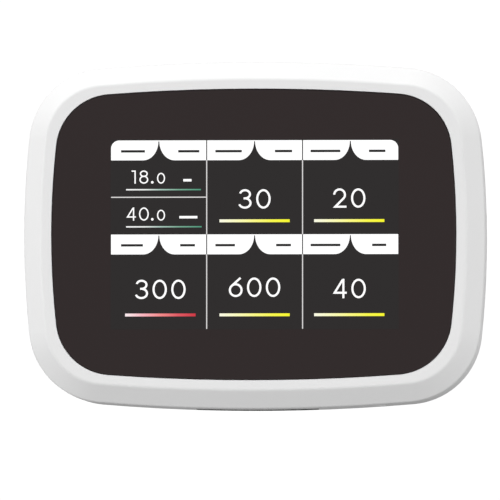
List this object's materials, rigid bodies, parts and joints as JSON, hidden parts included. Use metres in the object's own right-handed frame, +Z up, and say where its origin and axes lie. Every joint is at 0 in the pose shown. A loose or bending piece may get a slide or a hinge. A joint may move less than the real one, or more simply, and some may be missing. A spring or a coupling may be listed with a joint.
{
  "type": "air quality monitor",
  "caption": "Wall-mounted indoor air quality monitor: barrel-outlined white case with a bevelled rim and a black glass front showing gas, particle, temperature and humidity readings.",
  "frame": {"origin": "centre of the wall plate's rear face, midway between its two wall screws, on the wall's surface", "axes": "+Z up; +Y into the wall, so the display faces -Y; +X to the right as seen from the front, along the width"},
  "size_m": [0.1178, 0.036, 0.0886],
  "materials": {
    "white_abs": "fine satin moulded texture",
    "printed_glass": "polished, printed black on its back",
    "screen": "lit colour display",
    "adhesive_black": "foam tape",
    "grille_black": "satin",
    "screen_mesh": "fine mesh",
    "foil_label": "matt foil, blank",
    "zinc_steel": "zinc plated",
    "sheet_steel": "satin",
    "amber_flex": "polyimide film",
    "green_board": "solder mask",
    "black_parts": "moulded",
    "natural_nylon": "moulded",
    "green_terminal": "moulded",
    "sensor_blue": "moulded",
    "fan_black": "moulded",
    "laser_brass": "turned",
    "foam": "closed-cell foam",
    "gold_chamber": "gold plated",
    "membrane_white": "dust membrane",
    "cell_grey": "moulded",
    "button_white": "moulded"
  },
  "bodies": {
    "wall_plate": {"wall_plate": "white_abs"},
    "monitor": {"front_case": "white_abs", "rear_cover": "white_abs", "cover_glass": "printed_glass", "lcd_cell": "screen", "glass_adhesive": "adhesive_black", "bottom_grille": "grille_black", "inlet_mesh": "screen_mesh", "rating_label": "foil_label", "case_screws": "zinc_steel", "bracket_screws": "zinc_steel", "board_screws": "zinc_steel", "terminal_screws": "zinc_steel", "pm_fan_pin": "zinc_steel", "lcd_bracket": "sheet_steel", "lcd_backlight": "sheet_steel", "wifi_shield": "sheet_steel", "voc_can": "sheet_steel", "board_capacitors": "sheet_steel", "lcd_ribbon": "amber_flex", "main_board": "green_board", "wifi_board": "green_board", "pm_sensor_board": "green_board", "co2_board": "green_board", "hcho_board": "green_board", "voc_board": "green_board", "climate_board": "green_board", "board_chips": "black_parts", "power_module": "black_parts", "sensor_headers": "black_parts", "climate_chip": "black_parts", "reset_switch": "black_parts", "ribbon_socket": "natural_nylon", "terminal_block": "green_terminal", "pm_base": "sensor_blue", "pm_lid": "sensor_blue", "pm_laser": "laser_brass", "pm_gasket": "foam", "co2_chamber": "gold_chamber", "co2_membranes": "membrane_white", "hcho_cell": "cell_grey"},
    "fan_rotor": {"pm_fan_rotor": "fan_black"},
    "reset_button": {"reset_button": "button_white", "reset_plunger": "black_parts"}
  },
  "joints": [
    {"name": "unit_lift", "type": "slide", "parent": "wall_plate", "child": "monitor", "axis": [0, 0, 1], "range_m": [0, 0.0045]},
    {"name": "fan_spin", "type": "hinge", "parent": "monitor", "child": "fan_rotor", "pos_m": [0.005, -0.0162, -0.017], "axis": [0, 1, 0], "continuous": true},
    {"name": "reset_press", "type": "slide", "parent": "monitor", "child": "reset_button", "axis": [0, 0, 1], "range_m": [0, 0.0006], "stiffness_N_per_m": 900, "springref_m": -0.0008}
  ]
}
